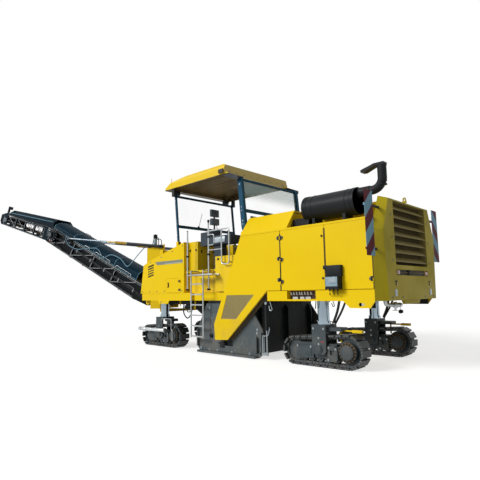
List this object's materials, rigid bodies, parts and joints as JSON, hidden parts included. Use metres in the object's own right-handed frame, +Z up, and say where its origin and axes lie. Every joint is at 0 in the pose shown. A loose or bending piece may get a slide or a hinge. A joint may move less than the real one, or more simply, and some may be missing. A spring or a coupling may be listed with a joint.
{
  "type": "cold planer milling machine",
  "caption": "Self-propelled cold planer with a milling drum between lifting tracks, an operator platform under a canopy, and a folding discharge conveyor slewed to the left.",
  "frame": {"origin": "on the ground, on the middle plane, directly below the milling drum's axis", "axes": "+X forward, towards the conveyor; +Y left; +Z up"},
  "size_m": [14.2342, 4.527, 4.66],
  "materials": {
    "yellow_paint": "gloss",
    "frame_paint": "satin",
    "anthracite_paint": "satin",
    "black_steel": "matte",
    "chrome": "polished",
    "stainless": "brushed",
    "belt_rubber": "matte",
    "pad_rubber": "matte",
    "black_trim": "matte",
    "board_paint": "satin",
    "drum_steel": "rough",
    "seat_cover": "woven"
  },
  "bodies": {
    "chassis": {"main_frame": "yellow_paint", "front_hood": "yellow_paint", "rear_housing": "yellow_paint", "rear_cowl": "yellow_paint", "engine_block": "anthracite_paint", "muffler": "black_steel", "platform": "yellow_paint", "consoles": "black_trim", "seats": "seat_cover", "handrails": "stainless", "ladders": "stainless", "drum_housing": "anthracite_paint", "belt_case": "anthracite_paint", "pickup_conveyor": "anthracite_paint", "warning_boards": "board_paint", "water_filler": "stainless", "lashing_plates": "yellow_paint"},
    "lift_front_left": {"leg_front_left": "chrome"},
    "undercarriage_front_left": {"track_front_left": "pad_rubber", "carrier_front_left": "anthracite_paint"},
    "lift_front_right": {"leg_front_right": "chrome"},
    "undercarriage_front_right": {"track_front_right": "pad_rubber", "carrier_front_right": "anthracite_paint"},
    "lift_rear_left": {"leg_rear_left": "chrome"},
    "undercarriage_rear_left": {"track_rear_left": "pad_rubber", "carrier_rear_left": "anthracite_paint"},
    "lift_rear_right": {"leg_rear_right": "chrome"},
    "undercarriage_rear_right": {"track_rear_right": "pad_rubber", "carrier_rear_right": "anthracite_paint"},
    "drum": {"milling_drum": "drum_steel"},
    "edge_plate_left": {"side_plate_left": "anthracite_paint"},
    "edge_plate_right": {"side_plate_right": "anthracite_paint"},
    "gate": {"rear_gate": "anthracite_paint"},
    "canopy_rear": {"canopy_rear_frame": "frame_paint"},
    "canopy_front": {"windscreen_frame": "frame_paint"},
    "roof": {"canopy_roof": "yellow_paint"},
    "body_door_left_rear": {"door_left_rear": "yellow_paint", "control_box": "black_trim"},
    "body_door_left_middle": {"door_left_middle": "yellow_paint"},
    "body_door_left_front": {"door_left_front": "yellow_paint"},
    "body_door_right_rear": {"door_right_rear": "yellow_paint"},
    "body_door_right_middle": {"door_right_middle": "yellow_paint"},
    "body_door_right_front": {"door_right_front": "yellow_paint"},
    "hatch": {"hood_hatch": "yellow_paint"},
    "yoke": {"conveyor_yoke": "yellow_paint"},
    "conveyor_low": {"conveyor_lower": "anthracite_paint", "lower_belt": "belt_rubber", "conveyor_cover": "frame_paint"},
    "conveyor_end": {"conveyor_tip": "anthracite_paint", "tip_belt": "belt_rubber"},
    "barrels": {"ram_barrels": "black_steel"},
    "rods": {"ram_rods": "chrome"}
  },
  "joints": [
    {"name": "lift_front_left", "type": "slide", "parent": "chassis", "child": "lift_front_left", "axis": [0, 0, 1], "range_m": [-0.1, 0.25]},
    {"name": "steer_front_left", "type": "hinge", "parent": "lift_front_left", "child": "undercarriage_front_left", "pos_m": [2.63, 0.94, 0.77], "axis": [0, 0, 1], "range_deg": [-25, 25]},
    {"name": "lift_front_right", "type": "slide", "parent": "chassis", "child": "lift_front_right", "axis": [0, 0, 1], "range_m": [-0.1, 0.25]},
    {"name": "steer_front_right", "type": "hinge", "parent": "lift_front_right", "child": "undercarriage_front_right", "pos_m": [2.63, -0.94, 0.77], "axis": [0, 0, 1], "range_deg": [-25, 25]},
    {"name": "lift_rear_left", "type": "slide", "parent": "chassis", "child": "lift_rear_left", "axis": [0, 0, 1], "range_m": [-0.1, 0.25]},
    {"name": "steer_rear_left", "type": "hinge", "parent": "lift_rear_left", "child": "undercarriage_rear_left", "pos_m": [-2.47, 1, 0.77], "axis": [0, 0, 1], "range_deg": [-25, 25]},
    {"name": "lift_rear_right", "type": "slide", "parent": "chassis", "child": "lift_rear_right", "axis": [0, 0, 1], "range_m": [-0.1, 0.25]},
    {"name": "steer_rear_right", "type": "hinge", "parent": "lift_rear_right", "child": "undercarriage_rear_right", "pos_m": [-2.47, -1, 0.77], "axis": [0, 0, 1], "range_deg": [-25, 25]},
    {"name": "drum_spin", "type": "hinge", "parent": "chassis", "child": "drum", "pos_m": [0, 0, 0.62], "axis": [0, 1, 0], "continuous": true},
    {"name": "float_edge_plate_left", "type": "slide", "parent": "chassis", "child": "edge_plate_left", "axis": [0, 0, 1], "range_m": [-0.012, 0.25]},
    {"name": "float_edge_plate_right", "type": "slide", "parent": "chassis", "child": "edge_plate_right", "axis": [0, 0, 1], "range_m": [-0.012, 0.25]},
    {"name": "open_rear_gate", "type": "hinge", "parent": "chassis", "child": "gate", "pos_m": [-0.748, 0, 1.15], "axis": [0, 1, 0], "range_deg": [0, 45]},
    {"name": "canopy_fold", "type": "hinge", "parent": "chassis", "child": "canopy_rear", "pos_m": [-0.5, 0, 2.69], "axis": [0, 1, 0], "range_deg": [0, 55]},
    {"name": "roof_level", "type": "hinge", "parent": "canopy_rear", "child": "roof", "pos_m": [-0.375, 0, 3.99], "axis": [0, 1, 0], "range_deg": [-55, 0]},
    {"name": "windscreen_fold", "type": "hinge", "parent": "chassis", "child": "canopy_front", "pos_m": [1.895, 0, 2.69], "axis": [0, 1, 0], "range_deg": [0, 55]},
    {"name": "open_door_left_rear", "type": "hinge", "parent": "chassis", "child": "body_door_left_rear", "pos_m": [-3.644, 1.259, 2], "axis": [0, 0, 1], "range_deg": [0, 90]},
    {"name": "open_door_left_middle", "type": "hinge", "parent": "chassis", "child": "body_door_left_middle", "pos_m": [-1.674, 1.259, 2], "axis": [0, 0, -1], "range_deg": [0, 90]},
    {"name": "open_door_left_front", "type": "hinge", "parent": "chassis", "child": "body_door_left_front", "pos_m": [-1.658, 1.259, 2], "axis": [0, 0, 1], "range_deg": [0, 90]},
    {"name": "open_door_right_rear", "type": "hinge", "parent": "chassis", "child": "body_door_right_rear", "pos_m": [-3.644, -1.259, 2], "axis": [0, 0, -1], "range_deg": [0, 90]},
    {"name": "open_door_right_middle", "type": "hinge", "parent": "chassis", "child": "body_door_right_middle", "pos_m": [-1.674, -1.259, 2], "axis": [0, 0, 1], "range_deg": [0, 90]},
    {"name": "open_door_right_front", "type": "hinge", "parent": "chassis", "child": "body_door_right_front", "pos_m": [-1.658, -1.259, 2], "axis": [0, 0, -1], "range_deg": [0, 90]},
    {"name": "open_hood_hatch", "type": "hinge", "parent": "chassis", "child": "hatch", "pos_m": [1.749, 1.109, 1.6], "axis": [0, 0, 1], "range_deg": [0, 100]},
    {"name": "conveyor_slew", "type": "hinge", "parent": "chassis", "child": "yoke", "pos_m": [3.95, 0, 1], "axis": [0, 0, 1], "range_deg": [-72, 28]},
    {"name": "conveyor_lift", "type": "hinge", "parent": "yoke", "child": "conveyor_low", "pos_m": [3.95, 0, 1.33], "axis": [-0.3746, 0.9272, 0], "range_deg": [-5, 15]},
    {"name": "conveyor_fold", "type": "hinge", "parent": "conveyor_low", "child": "conveyor_end", "pos_m": [8.0795, 1.66843, 3.29747], "axis": [-0.3746, 0.9272, 0], "range_deg": [0, 150]},
    {"name": "ram_swing", "type": "hinge", "parent": "yoke", "child": "barrels", "pos_m": [3.73675, -0.08616, 2.79], "axis": [-0.3746, 0.9272, 0], "range_deg": [-4.77, 14.32]},
    {"name": "ram_stroke", "type": "slide", "parent": "barrels", "child": "rods", "axis": [0.9194, 0.3715, 0.1289], "range_m": [-0.12781, 0.38343]}
  ],
  "couplings": [
    {"joint": "steer_front_right", "follows": "steer_front_left", "ratio": 1},
    {"joint": "steer_rear_right", "follows": "steer_rear_left", "ratio": 1},
    {"joint": "roof_level", "follows": "canopy_fold", "ratio": -1},
    {"joint": "windscreen_fold", "follows": "canopy_fold", "ratio": 1},
    {"joint": "ram_swing", "follows": "conveyor_lift", "ratio": 0.95458},
    {"joint": "ram_stroke", "follows": "conveyor_lift", "m_per_rad": 1.4646}
  ]
}
